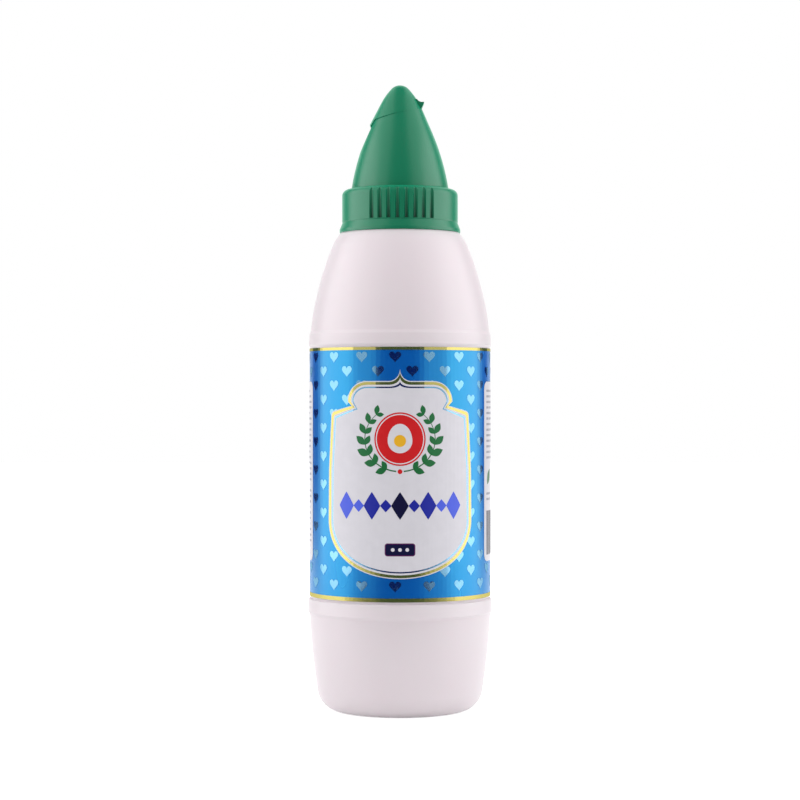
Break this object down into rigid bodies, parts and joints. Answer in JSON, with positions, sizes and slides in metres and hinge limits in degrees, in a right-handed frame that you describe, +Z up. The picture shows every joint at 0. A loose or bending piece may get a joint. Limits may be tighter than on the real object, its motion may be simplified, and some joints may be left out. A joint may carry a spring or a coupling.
{
  "type": "mayonnaise squeeze bottle",
  "caption": "Tapered white squeeze bottle with a wrap label, a ribbed green screw cap and a pointed spout closed by a small flip lid.",
  "frame": {"origin": "centre of the base, on the plane that the bottle stands on", "axes": "+Z up along the bottle's axis, the label's front faces -Y, the lid's thumb tab is at +X"},
  "size_m": [0.0638, 0.0638, 0.2159],
  "materials": {
    "bottle_plastic": "opaque blown polyethylene, near white with a faint pink tint, satin to glossy",
    "label_film": "glossy metallised film, printed blue with gold edge bands and a white front panel",
    "cap_plastic": "moulded polypropylene, mid green, smooth and softly glossy"
  },
  "bodies": {
    "root": {"bottle": "bottle_plastic", "label": "label_film", "cap": "cap_plastic", "tip_lid": "cap_plastic"}
  },
  "joints": []
}
